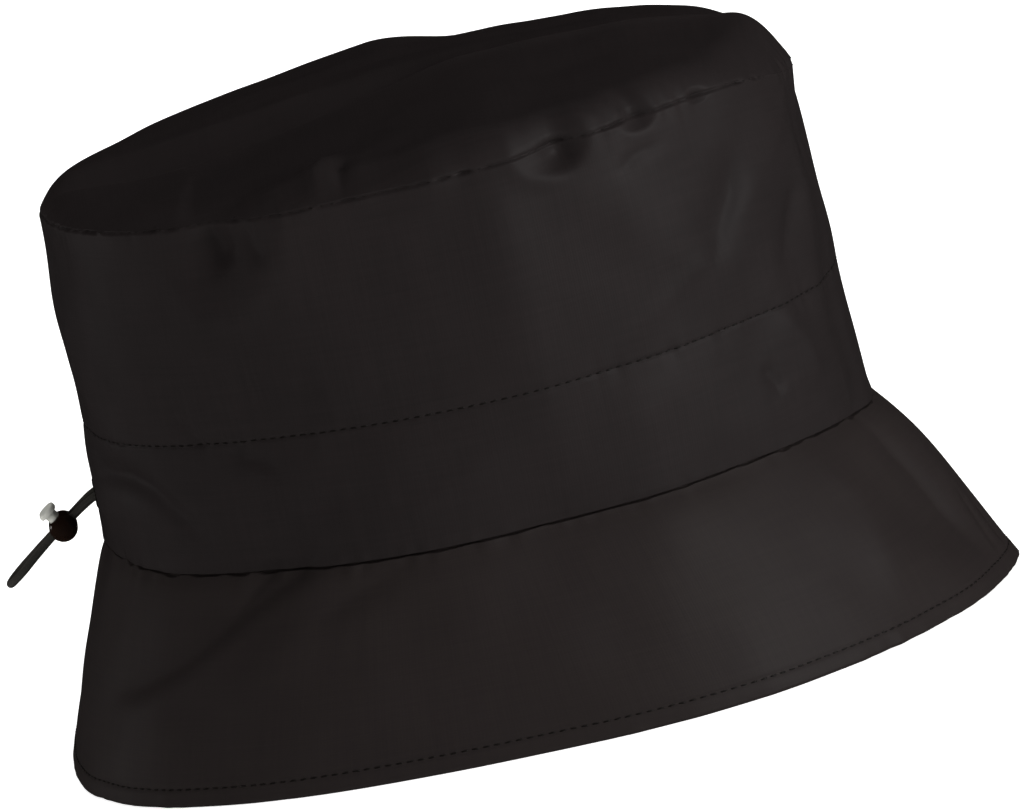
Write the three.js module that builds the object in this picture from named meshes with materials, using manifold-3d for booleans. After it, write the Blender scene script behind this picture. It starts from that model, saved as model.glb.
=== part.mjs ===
// A soft rain hat with a puffed oval top, upright crown, draw band, sloping brim and a locked
// drawcord at the back. Millimetres: +X points to the hat's front, +Z up, and the brim's edge
// lies on z = 0 round the origin.

import * as THREE from "three";
import { mergeVertices } from "three/addons/utils/BufferGeometryUtils.js";
import Module from "manifold-3d";

const wasm = await Module();
wasm.setup();

const CROWN_CLOTH = 1.5;
const BRIM_CLOTH = 2;
const SEAM_GAP = 0.3;
const STEPS_AROUND = 64;
const BRIM_ROWS = 8;
const BAND_ROWS = 5;
const CROWN_ROWS = 9;

// The sewn lines of the hat, each an oval with its own back, front and half width. A fullness of
// 2 is an ellipse, and more is squarer. The height is the mean of the line: tilt raises its front
// half and lowers its back half, frontDip lowers the front end alone and backLift raises the back.
const EDGE = {
  back: -123.8, front: 123.8, side: 102.5, backFullness: 2.7, frontFullness: 1.74,
  height: 0, tilt: 0, frontDip: 0, backLift: 0,
};
const BRIM_SEAM = {
  back: -103.8, front: 94, side: 84, backFullness: 2, frontFullness: 2,
  height: 53.4, tilt: 0.4, frontDip: 3, backLift: 2.6,
};
const BAND_LINE = {
  back: -102.4, front: 93.8, side: 82, backFullness: 2, frontFullness: 2,
  height: 87.1, tilt: 0.7, frontDip: 2, backLift: 0,
};
const TOP_SEAM = {
  back: -101.6, front: 93.6, side: 80.5, backFullness: 2, frontFullness: 2,
  height: 145.2, tilt: 3.2, frontDip: 10, backLift: -0.5,
};

const BRIM_BELLY = 2.2;
const BAND_BELLY = 0.8;
const CROWN_BELLY = 0.9;
const SEAM_PINCH = 0.5;
const SEAM_PINCH_SHARE = 0.05;
const LINE_END_SHARPNESS = 8;

// Soft dents and ridges of the upright walls and the brim. Each lies at an angle round the hat
// (0 the front, 180 the back, 270 the wearer's right) and a height, and its length leans from
// upright towards larger angles. A negative depth is a dent.
const WALL_FOLDS = [
  { angle: 235, height: 131, length: 15, width: 13, lean: 0, depth: -3 },
  { angle: 237, height: 139, length: 9, width: 5, lean: -20, depth: -2.2 },
  { angle: 247, height: 137, length: 8, width: 6, lean: 0, depth: 1 },
  { angle: 275, height: 145, length: 5, width: 5, lean: 0, depth: -1 },
  { angle: 292, height: 143, length: 6, width: 5, lean: 30, depth: -2.4 },
  { angle: 304, height: 144, length: 5, width: 5, lean: 60, depth: -2 },
  { angle: 317, height: 146, length: 5, width: 5, lean: 0, depth: -1.4 },
  { angle: 317, height: 111, length: 15, width: 6, lean: 30, depth: -2 },
  { angle: 329, height: 110, length: 16, width: 6, lean: 8, depth: 1.2 },
  { angle: 337, height: 106, length: 22, width: 9, lean: 10, depth: -1.8 },
  { angle: 190, height: 130, length: 10, width: 18, lean: 0, depth: -1.4 },
  { angle: 240, height: 97, length: 14, width: 5, lean: -70, depth: -1.8 },
  { angle: 226, height: 91, length: 7, width: 5, lean: -54, depth: -1.2 },
  { angle: 235, height: 81, length: 9, width: 4.5, lean: -72, depth: -1.3 },
  { angle: 199, height: 75, length: 16, width: 5, lean: 84, depth: -2 },
  { angle: 221, height: 67, length: 10, width: 5, lean: -43, depth: -2 },
  { angle: 331, height: 75, length: 12, width: 8, lean: -25, depth: -1.4 },
  { angle: 221, height: 39, length: 26, width: 5, lean: 66, depth: -2.6 },
  { angle: 238, height: 37, length: 18, width: 8, lean: 66, depth: 1 },
  { angle: 247, height: 45, length: 13, width: 5, lean: 66, depth: -1.3 },
  { angle: 318, height: 32, length: 28, width: 20, lean: -20, depth: -1.5 },
  { angle: 350, height: 16, length: 18, width: 6, lean: 50, depth: -2 },
  { angle: 0, height: 40, length: 15, width: 45, lean: 0, depth: 1.8 },
  { angle: 180, height: 30, length: 18, width: 40, lean: 0, depth: -0.8 },
  { angle: 145, height: 30, length: 26, width: 10, lean: -30, depth: -2 },
  { angle: 60, height: 28, length: 28, width: 13, lean: 12, depth: -1.8 },
  { angle: 128, height: 70, length: 14, width: 6, lean: 40, depth: -1.4 },
  { angle: 120, height: 118, length: 26, width: 10, lean: 14, depth: -1.8 },
  { angle: 48, height: 122, length: 22, width: 9, lean: -12, depth: -1.6 },
  { angle: 92, height: 141, length: 9, width: 7, lean: 8, depth: -2 },
];

// The top panel's height along the midline, from the back to the front.
const TOP_RIDGE = [
  { x: -104, height: 145.5 },
  { x: -80, height: 149 },
  { x: -50, height: 152.4 },
  { x: -35, height: 154.4 },
  { x: -14, height: 157.6 },
  { x: 10, height: 158.3 },
  { x: 55, height: 157.8 },
  { x: 77, height: 155 },
  { x: 96, height: 150 },
];
const TOP_ROLL = 0.15;
const TOP_ROLL_POWER = 2.2;
const TOP_SLOPE_LENGTH = 70;
const TOP_SLOPE_POWER = 1.5;
const NEAR_DROP = 4.5;
const FAR_DROP_BACK = 3.4;
const FAR_DROP_FRONT = 8.6;
const FAR_DROP_CHANGE = { from: -12, to: 12 };
// The wall's folds run on into the top panel, between these shares of the way out, and rise this far.
const TOP_FOLDS = { from: 0.7, to: 1, rise: 2 };
const CREASE = { depth: 2.6, width: 5, from: -90, to: -16 };

// The top panel's rings, as shares of the way from its middle to the seam.
const TOP_RINGS = [1, 0.98, 0.955, 0.925, 0.885, 0.83, 0.72, 0.58, 0.42, 0.24];

const CORD_DIAMETER = 2;
const CORD_SIDES = 8;
const CORD_STEPS = 44;
// The free loop of the drawcord, from the exit hole through the lock, round its end and back.
const CORD_ROUTE = [
  [-102.4, 1.2, 68.6],
  [-104.6, 1.2, 67.6],
  [-107.2, 1.15, 65.9],
  [-110.0, 1.15, 63.9],
  [-113.2, 1.15, 61.7],
  [-116.2, 1.2, 59.6],
  [-119.2, 1.6, 57.4],
  [-122.4, 2.3, 54.9],
  [-125.2, 2.8, 52.7],
  [-127.5, 2.5, 50.9],
  [-128.9, 1.4, 49.8],
  [-129.3, 0, 49.5],
  [-128.9, -1.4, 49.8],
  [-127.5, -2.5, 50.9],
  [-125.2, -2.8, 52.6],
  [-122.4, -2.3, 54.8],
  [-119.2, -1.6, 57.2],
  [-116.2, -1.2, 59.4],
  [-113.2, -1.15, 61.5],
  [-110.0, -1.15, 63.5],
  [-107.2, -1.15, 65.3],
  [-104.6, -1.2, 66.8],
  [-102.4, -1.2, 67.7],
];

const ROUND_END_SEGMENTS = 8;
const ROUNDING_SEGMENTS = 2;

const EXIT_HOLE = { z: 67.9, width: 6, height: 4.8, depth: 8 };

const LOCK_CENTRE = new THREE.Vector3(-113.2, 0, 61.6);
const LOCK_TILT = -34.9;
const BALL = { diameter: 7.4, width: 9.8, squareness: 3.4, drop: 0.4, sides: 24, steps: 16 };
const BORE = { length: 3.4, width: 7, bottom: -3.05 };
const LOCK_SLOT = { width: 4.9, height: 2.8 };
const BUTTON_STEM = { length: 2.8, width: 6.4, bottom: -1.9, top: 5 };
const BUTTON_HEAD = { length: 4.8, width: 7.6, bottom: 4.6, top: 6, rounding: 0.5 };
const BUTTON_TRAVEL = 1;

const FABRIC = new THREE.MeshStandardMaterial({ color: "#26221f", roughness: 0.75, metalness: 0 });
const CORD = new THREE.MeshStandardMaterial({ color: "#2b2926", roughness: 0.85, metalness: 0 });
const LOCK = new THREE.MeshStandardMaterial({ color: "#15110f", roughness: 0.2, metalness: 0 });
const CAP = new THREE.MeshStandardMaterial({ color: "#c8c8c3", roughness: 0.35, metalness: 0 });

const radians = THREE.MathUtils.degToRad;
const mix = THREE.MathUtils.lerp;

// The point of a sewn line at an angle round the hat.
function ovalPoint(line, angle) {
  const c = Math.cos(angle);
  const s = Math.sin(angle);
  const power = 2 / mix(line.frontFullness, line.backFullness, (1 - c) / 2);
  const middle = (line.front + line.back) / 2;
  const half = (line.front - line.back) / 2;
  const x = middle + half * Math.sign(c) * Math.abs(c) ** power;
  const y = line.side * Math.sign(s) * Math.abs(s) ** power;
  const frontEnd = Math.max(c, 0) ** LINE_END_SHARPNESS;
  const backEnd = Math.max(-c, 0) ** LINE_END_SHARPNESS;
  const z = line.height + line.tilt * c - line.frontDip * frontEnd + line.backLift * backEnd;
  return new THREE.Vector3(x, y, z);
}

// The level outward direction of the upright walls at an angle.
function outward(angle) {
  const half = (BRIM_SEAM.front - BRIM_SEAM.back) / 2;
  return new THREE.Vector3(Math.cos(angle) / half, Math.sin(angle) / BRIM_SEAM.side, 0).normalize();
}

// How far the folds push the wall out at an angle and a height.
function foldDepth(angle, height) {
  const degrees = THREE.MathUtils.radToDeg(angle);
  const roundHat = (radians(1) * (BRIM_SEAM.front - BRIM_SEAM.back)) / 2;
  let depth = 0;
  for (const fold of WALL_FOLDS) {
    const turn = THREE.MathUtils.euclideanModulo(degrees - fold.angle + 180, 360) - 180;
    const round = turn * roundHat;
    const up = height - fold.height;
    const lean = radians(fold.lean);
    const along = up * Math.cos(lean) + round * Math.sin(lean);
    const across = round * Math.cos(lean) - up * Math.sin(lean);
    depth += fold.depth * Math.exp(-((along / fold.length) ** 2) - (across / fold.width) ** 2);
  }
  return depth;
}

// A point of a wall between two sewn lines, at a share of the way up, with its belly and folds.
function wallPoint(lower, upper, belly, angle, share) {
  const point = ovalPoint(lower, angle).lerp(ovalPoint(upper, angle), share);
  const fromSeam = Math.min(share, 1 - share) / SEAM_PINCH_SHARE;
  const pinch = SEAM_PINCH * Math.exp(-(fromSeam ** 2));
  const out = belly * Math.sin(Math.PI * share) - pinch + foldDepth(angle, point.z);
  return point.addScaledVector(outward(angle), out);
}

// 0 before a stretch, 1 after it and a smooth change along it.
function smoothStep({ from, to }, value) {
  return THREE.MathUtils.smoothstep(value, from, to);
}

// The height of the top panel's upper face, inside its rolled edge.
function topHeight(x, y) {
  const after = Math.max(TOP_RIDGE.findIndex((row) => row.x > x), 1);
  const a = TOP_RIDGE[after - 1];
  const b = TOP_RIDGE[after];
  const ridge = mix(a.height, b.height, (x - a.x) / (b.x - a.x));
  const farDrop = mix(FAR_DROP_BACK, FAR_DROP_FRONT, smoothStep(FAR_DROP_CHANGE, x));
  const drop = (y > 0 ? farDrop : NEAR_DROP) * (Math.abs(y) / TOP_SLOPE_LENGTH) ** TOP_SLOPE_POWER;
  const fade = 1 - smoothStep(CREASE, x);
  return ridge - drop - CREASE.depth * fade * Math.exp(-((y / CREASE.width) ** 2));
}

// A point of the top panel at an angle and a share of the way from its middle to the seam.
function topPoint(angle, share) {
  const rim = ovalPoint(TOP_SEAM, angle);
  const middle = (TOP_SEAM.front + TOP_SEAM.back) / 2;
  const x = mix(middle, rim.x, share);
  const y = rim.y * share;
  const rise = 1 - (1 - Math.min((1 - share) / TOP_ROLL, 1)) ** TOP_ROLL_POWER;
  const z = mix(rim.z, topHeight(x, y), rise);
  const edge = smoothStep(TOP_FOLDS, share);
  const out = edge * foldDepth(angle, Math.min(z, rim.z + TOP_FOLDS.rise));
  return new THREE.Vector3(x, y, z).addScaledVector(outward(angle), out);
}

// The unit normals of a grid of rows of points that close round the hat.
function gridNormals(rows) {
  return rows.map((row, i) =>
    row.map((point, j) => {
      const below = rows[Math.max(i - 1, 0)][j];
      const above = rows[Math.min(i + 1, rows.length - 1)][j];
      const before = row[(j + row.length - 1) % row.length];
      const after = row[(j + 1) % row.length];
      const up = above.clone().sub(below);
      return after.clone().sub(before).cross(up).normalize();
    }),
  );
}

// The inner face of a cloth wall. The rows that end at a seam or the floor move in level.
function innerRows(rows, thickness, levelRows) {
  const normals = gridNormals(rows);
  return rows.map((row, i) =>
    row.map((point, j) => {
      const normal = normals[i][j];
      if (levelRows.includes(i)) {
        normal.setZ(0).normalize();
      }
      return point.clone().addScaledVector(normal, -thickness);
    }),
  );
}

// Joins consecutive rings of points into triangles that face out.
function ringTriangles(rings, size) {
  const triangles = [];
  for (let i = 0; i < rings - 1; i += 1) {
    for (let j = 0; j < size; j += 1) {
      const next = (j + 1) % size;
      const a = i * size + j;
      const b = i * size + next;
      const c = (i + 1) * size + next;
      const d = (i + 1) * size + j;
      triangles.push(a, b, c, a, c, d);
    }
  }
  return triangles;
}

function geometryOf(points, triangles) {
  const geometry = new THREE.BufferGeometry();
  geometry.setAttribute("position", new THREE.Float32BufferAttribute(points.flatMap((p) => [...p]), 3));
  geometry.setIndex(triangles);
  return geometry;
}

// A closed tube of cloth: the outer rows upwards, then the inner rows downwards, closed in a ring.
function wallGeometry(rows, thickness) {
  const inner = innerRows(rows, thickness, [0, rows.length - 1]).reverse();
  const rings = [...rows, ...inner, rows[0]];
  const points = [...rows, ...inner].flat();
  const count = points.length;
  const triangles = ringTriangles(rings.length, STEPS_AROUND).map((index) => index % count);
  return geometryOf(points, triangles);
}

function anglesAround() {
  return Array.from({ length: STEPS_AROUND }, (_, j) => (j / STEPS_AROUND) * 2 * Math.PI);
}

// The outer rows of a wall between two sewn lines, ending half a gap short of each seam.
function wallRows(lower, upper, belly, count, gapBelow, gapAbove) {
  return Array.from({ length: count + 1 }, (_, i) =>
    anglesAround().map((angle) => {
      const point = wallPoint(lower, upper, belly, angle, i / count);
      if (i === 0) {
        point.z += gapBelow;
      }
      if (i === count) {
        point.z -= gapAbove;
      }
      return point;
    }),
  );
}

function brimGeometry() {
  const rows = wallRows(EDGE, BRIM_SEAM, BRIM_BELLY, BRIM_ROWS, 0, SEAM_GAP / 2);
  return wallGeometry(rows, BRIM_CLOTH);
}

function crownSideGeometry() {
  const half = SEAM_GAP / 2;
  const rows = wallRows(BAND_LINE, TOP_SEAM, CROWN_BELLY, CROWN_ROWS, half, half);
  return wallGeometry(rows, CROWN_CLOTH);
}

// The top panel: its outer rings from the seam to a middle point, and the same rings inside, where
// none reaches below the seam.
function crownTopGeometry() {
  const rows = TOP_RINGS.map((share) => anglesAround().map((angle) => topPoint(angle, share)));
  for (const point of rows[0]) {
    point.z += SEAM_GAP / 2;
  }
  const inner = innerRows(rows, CROWN_CLOTH, [0]);
  for (const row of inner) {
    row.forEach((point, j) => point.setZ(Math.max(point.z, rows[0][j].z)));
  }
  const middle = topPoint(0, 0);
  const rings = [...inner.reverse(), ...rows];
  const points = [...rings.flat(), middle, middle.clone().setZ(middle.z - CROWN_CLOTH)];
  const triangles = ringTriangles(rings.length, STEPS_AROUND);
  const lastRing = (rings.length - 1) * STEPS_AROUND;
  const top = rings.length * STEPS_AROUND;
  for (let j = 0; j < STEPS_AROUND; j += 1) {
    const next = (j + 1) % STEPS_AROUND;
    triangles.push(lastRing + j, lastRing + next, top);
    triangles.push(next, j, top + 1);
  }
  return geometryOf(points, triangles);
}

function solidOf(geometry) {
  const bare = geometry.clone();
  bare.deleteAttribute("normal");
  bare.deleteAttribute("uv");
  const merged = mergeVertices(bare, 1e-4);
  const vertProperties = new Float32Array(merged.attributes.position.array);
  const triVerts = new Uint32Array(merged.index.array);
  return new wasm.Manifold(new wasm.Mesh({ numProp: 3, vertProperties, triVerts }));
}

function geometryFrom(solid) {
  const mesh = solid.getMesh();
  const geometry = new THREE.BufferGeometry();
  geometry.setAttribute("position", new THREE.Float32BufferAttribute(mesh.vertProperties, 3));
  geometry.setIndex([...mesh.triVerts]);
  return geometry;
}

// A prism with round ends: its section lies in X and Y, with its long side along Y.
function roundEndedPrism({ length, width, bottom, top, rounding = 0 }) {
  const radius = length / 2;
  const reach = width / 2 - radius;
  const shape = new THREE.Shape();
  shape.absarc(0, reach, radius, 0, Math.PI, false);
  shape.absarc(0, -reach, radius, Math.PI, 2 * Math.PI, false);
  const geometry = new THREE.ExtrudeGeometry(shape, {
    depth: top - bottom - 2 * rounding,
    curveSegments: ROUND_END_SEGMENTS,
    bevelEnabled: rounding > 0,
    bevelThickness: rounding,
    bevelSize: rounding,
    bevelOffset: -rounding,
    bevelSegments: ROUNDING_SEGMENTS,
  });
  return geometry.translate(0, 0, bottom + rounding);
}

// The lower band of the crown, with the drawcord's exit hole cut through its back.
function drawBandGeometry() {
  const half = SEAM_GAP / 2;
  const rows = wallRows(BRIM_SEAM, BAND_LINE, BAND_BELLY, BAND_ROWS, half, half);
  const band = wallGeometry(rows, CROWN_CLOTH);
  const hole = roundEndedPrism({
    length: EXIT_HOLE.height,
    width: EXIT_HOLE.width,
    bottom: -EXIT_HOLE.depth / 2,
    top: EXIT_HOLE.depth / 2,
  });
  hole.rotateY(Math.PI / 2).translate(BRIM_SEAM.back, 0, EXIT_HOLE.z);
  return geometryFrom(solidOf(band).subtract(solidOf(hole)));
}

function drawCordGeometry() {
  const points = CORD_ROUTE.map(([x, y, z]) => new THREE.Vector3(x, y, z));
  const corners = Array.from({ length: CORD_SIDES }, (_, i) =>
    new THREE.Vector2(CORD_DIAMETER / 2, 0).rotateAround(
      new THREE.Vector2(),
      (i / CORD_SIDES) * 2 * Math.PI,
    ),
  );
  return new THREE.ExtrudeGeometry(new THREE.Shape(corners), {
    steps: CORD_STEPS,
    extrudePath: new THREE.CatmullRomCurve3(points),
  });
}

// The slot for the two strands, lying along X through the lock.
function strandSlot() {
  const slot = roundEndedPrism({
    length: LOCK_SLOT.height,
    width: LOCK_SLOT.width,
    bottom: -BALL.diameter,
    top: BALL.diameter,
  });
  return slot.rotateY(Math.PI / 2);
}

// The oval ball, turned round the Y axis, with ends a little squarer than an ellipse's.
function ballGeometry() {
  const radius = BALL.diameter / 2;
  const profile = Array.from({ length: BALL.steps + 1 }, (_, i) => {
    const turn = (i / BALL.steps - 0.5) * Math.PI;
    const share = Math.sign(turn) * Math.abs(Math.sin(turn)) ** (2 / BALL.squareness);
    const r = i % BALL.steps === 0 ? 0 : radius * Math.cos(turn) ** (2 / BALL.squareness);
    return new THREE.Vector2(r, (share * BALL.width) / 2);
  });
  return new THREE.LatheGeometry(profile, BALL.sides).translate(0, 0, -BALL.drop);
}

function cordLockGeometry() {
  const bore = roundEndedPrism({ ...BORE, top: BALL.diameter });
  const ball = solidOf(ballGeometry()).subtract(solidOf(bore));
  return geometryFrom(ball.subtract(solidOf(strandSlot())));
}

// The press button: its slot is longer than the body's by its travel, so the strands pass through
// it both at rest and pressed.
function lockButtonGeometry() {
  const stem = roundEndedPrism(BUTTON_STEM);
  const head = roundEndedPrism(BUTTON_HEAD);
  const slotHeight = LOCK_SLOT.height + BUTTON_TRAVEL;
  const slot = new THREE.BoxGeometry(2 * BUTTON_STEM.length, LOCK_SLOT.width, slotHeight);
  slot.translate(0, 0, BUTTON_TRAVEL / 2);
  return geometryFrom(solidOf(stem).add(solidOf(head)).subtract(solidOf(slot)));
}

function piece(name, geometry, material) {
  const mesh = new THREE.Mesh(geometry, material);
  mesh.name = name;
  return mesh;
}

function lockGroup() {
  const group = new THREE.Group();
  group.add(piece("cord_lock", cordLockGeometry(), LOCK));
  group.add(piece("lock_button", lockButtonGeometry(), CAP));
  group.position.copy(LOCK_CENTRE);
  group.rotation.y = radians(LOCK_TILT);
  return group;
}

const hat = new THREE.Group();
hat.add(piece("brim", brimGeometry(), FABRIC));
hat.add(piece("draw_band", drawBandGeometry(), FABRIC));
hat.add(piece("crown_side", crownSideGeometry(), FABRIC));
hat.add(piece("crown_top", crownTopGeometry(), FABRIC));
hat.add(piece("draw_cord", drawCordGeometry(), CORD));
hat.add(lockGroup());

export default hat;
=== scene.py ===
# %% [markdown]
# # A black rain hat, dressed around its frame
# The real hat is a soft shell of coated black nylon, sewn from an oval top, an upright crown side, a draw
# band that hides an elastic cord, and a sloping brim with a turned hem. The frame holds the same pieces as
# plain solids at their real size. This script loads it, and then makes the cloth, the thread, the cord
# and the cord lock that the eye sees. All lengths in the tables are millimetres, and the meshes are metres.

# %% Load the frame
import math

import bpy
import numpy as np
from mathutils import Matrix, Vector


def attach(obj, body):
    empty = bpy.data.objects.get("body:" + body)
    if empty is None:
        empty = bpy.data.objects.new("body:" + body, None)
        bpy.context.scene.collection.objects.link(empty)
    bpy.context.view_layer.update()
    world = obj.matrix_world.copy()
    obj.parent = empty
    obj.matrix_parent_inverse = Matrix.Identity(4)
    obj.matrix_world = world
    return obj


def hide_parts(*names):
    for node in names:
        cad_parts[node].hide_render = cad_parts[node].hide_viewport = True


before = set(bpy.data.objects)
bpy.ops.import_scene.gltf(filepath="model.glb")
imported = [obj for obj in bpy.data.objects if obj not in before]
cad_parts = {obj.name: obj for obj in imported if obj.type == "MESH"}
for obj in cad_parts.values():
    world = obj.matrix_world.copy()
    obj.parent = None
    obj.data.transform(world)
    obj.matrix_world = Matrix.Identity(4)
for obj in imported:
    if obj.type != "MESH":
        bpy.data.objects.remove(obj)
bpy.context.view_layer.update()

MM = 0.001


def table(columns, rows):
    """Rows with named columns. A row may leave out its last ones."""
    return [dict(zip(columns.split(), row)) for row in rows]


# %% [markdown]
# ## Camera
# The picture was taken with a long lens from a little above the brim, and the hat lies tilted in it, with
# its front up. A long lens can be had by a far camera with a narrow view, so that near and far sides keep
# their size. The tilt is a roll of the camera about its own line of sight: the hat itself stays level.

# %% Camera
IMAGE_WIDTH = 1024
PIXELS_PER_MM = 3.93
CAMERA_DISTANCE = 6.0
ELEVATION = math.radians(12.4)
ROLL = math.radians(12.4)
AIM = Vector((5.2, 0, 67.1)) * MM

back = Vector((0, -math.cos(ELEVATION), math.sin(ELEVATION)))
side = Vector((1, 0, 0))
upright = back.cross(side)
right = math.cos(ROLL) * side - math.sin(ROLL) * upright
up = math.sin(ROLL) * side + math.cos(ROLL) * upright

camera = bpy.data.objects.new("camera", bpy.data.cameras.new("camera"))
bpy.context.scene.collection.objects.link(camera)
camera.matrix_world = Matrix((right, up, back)).transposed().to_4x4()
camera.location = AIM + CAMERA_DISTANCE * back
camera.data.lens = camera.data.sensor_width * PIXELS_PER_MM / MM * CAMERA_DISTANCE / IMAGE_WIDTH
camera.data.clip_end = 100
bpy.context.scene.camera = camera
print("lens", round(camera.data.lens), "mm")

# %% [markdown]
# ## Nodes and colours
# Every finish below is a small node tree. One function adds a node with its settings and links, and one
# function turns the hex colours of a paint program into the linear values that a renderer adds up.


# %% Helpers for finishes
def srgb(code):
    """The linear colour of a hex code such as #26221f."""
    parts = [int(code[i:i + 2], 16) / 255 for i in (1, 3, 5)]
    linear = [v / 12.92 if v <= 0.04045 else ((v + 0.055) / 1.055) ** 2.4 for v in parts]
    return (*linear, 1)


def add_node(tree, kind, inputs=None, **settings):
    """Adds a node. Inputs are numbers, colours or other nodes' output sockets, by name or number."""
    made = tree.nodes.new(kind)
    for name, value in settings.items():
        setattr(made, name, value)
    for name, value in (inputs or {}).items():
        if isinstance(value, bpy.types.NodeSocket):
            tree.links.new(value, made.inputs[name])
        else:
            made.inputs[name].default_value = value
    return made


def new_material(name):
    """An empty material: its node tree and its Principled shader."""
    material = bpy.data.materials.new(name)
    material.use_nodes = True
    return material, material.node_tree, material.node_tree.nodes["Principled BSDF"]


print("the mid grey #808080 is", round(srgb("#808080")[0], 3), "in linear values")

# %% [markdown]
# ## Coated nylon
# The shell is a plain weave of fine nylon yarn with a thin coating inside. It looks nearly matt, with a
# broad weak gloss where a lamp is mirrored in it. The brim is interlined and has a finish of its own: its
# cloth is drawn a little lighter and browner than the crown's, which is painted light for the extra light
# that falls on the brim's upward slope. A real thread is about 0.2 mm wide, which is less than a pixel
# here, so the weave is drawn at 0.7 mm. A pair of sines in the cloth's own UV map makes it, because the map
# follows warp and weft round every fold. Uneven yarn shows as long faint streaks, which are noise stretched
# along each thread direction.

# %% Weave and streaks
THREAD = 0.7
YARN_STREAK = {"length": 26, "width": 0.9}


def thread_wave(tree, coordinate):
    """A sine along one axis of the cloth, one cycle a thread."""
    cycles = 2 * math.pi / (THREAD * MM)
    turn = add_node(tree, "ShaderNodeMath", {0: coordinate, 1: cycles}, operation="MULTIPLY")
    return add_node(tree, "ShaderNodeMath", {0: turn.outputs[0]}, operation="SINE").outputs[0]


def yarn_streaks(tree, uv, across, along):
    """Noise stretched along one thread direction."""
    scale = (1 / (across * MM), 1 / (along * MM), 1)
    place = add_node(tree, "ShaderNodeVectorMath", {0: uv, 1: scale}, operation="MULTIPLY")
    noise = {"Vector": place.outputs[0], "Scale": 1, "Detail": 2}
    return add_node(tree, "ShaderNodeTexNoise", noise).outputs[0]


print(round(10 / THREAD), "threads are drawn in each centimetre")

# %% Coated nylon
NYLON = {"dark": "#191616", "light": "#1e1a1a"}
# The brim's colours are lighter than the crown's: painted light, for the light its upward slope catches.
BACKED_NYLON_PAINTED_LIGHTER = {"dark": "#1d1919", "light": "#211d1c"}
NYLON_ROUGHNESS = (0.56, 0.52)
WEAVE_RELIEF = 0.009
STREAK_RELIEF = 0.05


def make_nylon(name, dark, light):
    material, tree, shader = new_material(name)
    uv = add_node(tree, "ShaderNodeUVMap", uv_map="cloth").outputs[0]
    axes = add_node(tree, "ShaderNodeSeparateXYZ", {0: uv}).outputs
    waves = {0: thread_wave(tree, axes[0]), 1: thread_wave(tree, axes[1])}
    weave = add_node(tree, "ShaderNodeMath", waves, operation="ADD").outputs[0]
    length, width = YARN_STREAK["length"], YARN_STREAK["width"]
    streaks = {0: yarn_streaks(tree, uv, width, length), 1: yarn_streaks(tree, uv, length, width)}
    streak = add_node(tree, "ShaderNodeMath", streaks, operation="ADD").outputs[0]
    cloud = add_node(tree, "ShaderNodeTexNoise", {"Vector": uv, "Scale": 24, "Detail": 3}).outputs[0]
    tone = add_node(tree, "ShaderNodeMath", {0: streak, 1: cloud}, operation="ADD").outputs[0]
    share = add_node(tree, "ShaderNodeMapRange", {0: tone, 1: 1, 2: 2}).outputs[0]
    colour = add_node(tree, "ShaderNodeMix", {0: share, 6: srgb(dark), 7: srgb(light)}, data_type="RGBA")
    matt, glossy = NYLON_ROUGHNESS
    gloss = add_node(tree, "ShaderNodeMapRange", {0: tone, 1: 1, 2: 2, 3: matt, 4: glossy})
    threads = {"Strength": 0.3, "Distance": WEAVE_RELIEF * MM, "Height": weave}
    threads = add_node(tree, "ShaderNodeBump", threads).outputs[0]
    yarns = {"Strength": 0.4, "Distance": STREAK_RELIEF * MM, "Height": streak, "Normal": threads}
    tree.links.new(colour.outputs[2], shader.inputs["Base Color"])
    tree.links.new(gloss.outputs[0], shader.inputs["Roughness"])
    tree.links.new(add_node(tree, "ShaderNodeBump", yarns).outputs[0], shader.inputs["Normal"])
    shader.inputs["IOR"].default_value = 1.53
    shader.inputs["Specular IOR Level"].default_value = 0.04
    return material


nylon = make_nylon("coated_nylon_taffeta", **NYLON)
backed_nylon_painted_lighter = make_nylon("interlined_nylon_painted_lighter", **BACKED_NYLON_PAINTED_LIGHTER)
print("made", nylon.name, backed_nylon_painted_lighter.name)

# %% [markdown]
# ## The sewn lines
# A sewn hat keeps its form because its panels meet along seams. Each seam, and the brim's edge, is an oval
# with its own back, front and half width. A fullness of 2 makes an ellipse, and more makes it squarer. The
# lines were read once from the picture for the frame's solids, and the same values are used here, so that
# each new piece lies where its solid does.

# %% Sewn lines
EDGE, BRIM_SEAM, BAND_LINE, TOP_SEAM = table(
    "back front side back_fullness front_fullness height tilt front_dip back_lift",
    [
        (-123.8, 123.8, 102.5, 2.7, 1.74, 0, 0, 0, 0),
        (-103.8, 94, 84, 2, 2, 53.4, 0.4, 3, 2.6),
        (-102.4, 93.8, 82, 2, 2, 87.1, 0.7, 2, 0),
        (-101.6, 93.6, 80.5, 2, 2, 145.2, 3.2, 10, -0.5),
    ],
)
LINE_END_SHARPNESS = 8
CROWN_HALF_LENGTH = (BRIM_SEAM["front"] - BRIM_SEAM["back"]) / 2
ROUND_PER_DEGREE = math.radians(1) * CROWN_HALF_LENGTH


def mix(a, b, share):
    return a + (b - a) * share


def smooth(value, start, end):
    """0 before start, 1 after end, and a smooth change between."""
    t = np.clip((value - start) / (end - start), 0, 1)
    return t * t * (3 - 2 * t)


def sewn_line(line, angle):
    """The points of a sewn line at angles round the hat, 0 at the front."""
    c, s = np.cos(angle), np.sin(angle)
    power = 2 / mix(line["front_fullness"], line["back_fullness"], (1 - c) / 2)
    middle = (line["front"] + line["back"]) / 2
    half = (line["front"] - line["back"]) / 2
    x = middle + half * np.sign(c) * np.abs(c) ** power
    y = line["side"] * np.sign(s) * np.abs(s) ** power
    dip = line["front_dip"] * np.maximum(c, 0) ** LINE_END_SHARPNESS
    lift = line["back_lift"] * np.maximum(-c, 0) ** LINE_END_SHARPNESS
    return np.stack([x, y, line["height"] + line["tilt"] * c - dip + lift], -1)


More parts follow.
